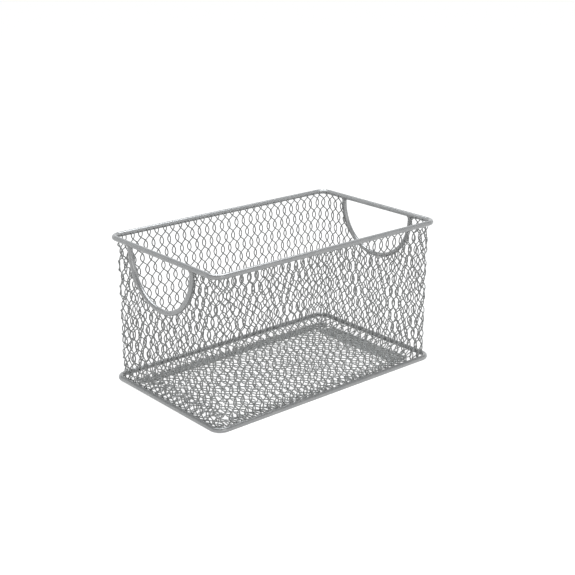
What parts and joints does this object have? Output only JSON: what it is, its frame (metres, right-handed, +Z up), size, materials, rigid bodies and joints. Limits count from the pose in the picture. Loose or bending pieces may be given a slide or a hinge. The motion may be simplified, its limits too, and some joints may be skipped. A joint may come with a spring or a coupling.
{
  "type": "wire locker basket",
  "caption": "Open-topped rectangular basket of woven wire mesh on a bent rod frame, with a half-round grip under each end of the rim.",
  "frame": {"origin": "on the surface the basket stands on, below the middle of its outline", "axes": "+X along the long walls, +Y across the basket, +Z up"},
  "size_m": [0.3056, 0.1856, 0.1673],
  "materials": {
    "coated_rod": "satin silver-grey coating on steel rod",
    "coated_wire": "satin silver-grey coating on steel wire",
    "weld_bead": "silver-grey coating over a rippled weld"
  },
  "bodies": {
    "root": {"top_rim": "coated_rod", "base_ring": "coated_rod", "grip_left": "coated_rod", "grip_right": "coated_rod", "grip_welds_left": "weld_bead", "grip_welds_right": "weld_bead", "wall_mesh_front": "coated_wire", "wall_mesh_back": "coated_wire", "end_mesh_left": "coated_wire", "end_mesh_right": "coated_wire", "corner_mesh_front_left": "coated_wire", "corner_mesh_front_right": "coated_wire", "corner_mesh_back_left": "coated_wire", "corner_mesh_back_right": "coated_wire", "foot_mesh": "coated_wire", "floor_mesh": "coated_wire"}
  },
  "joints": []
}
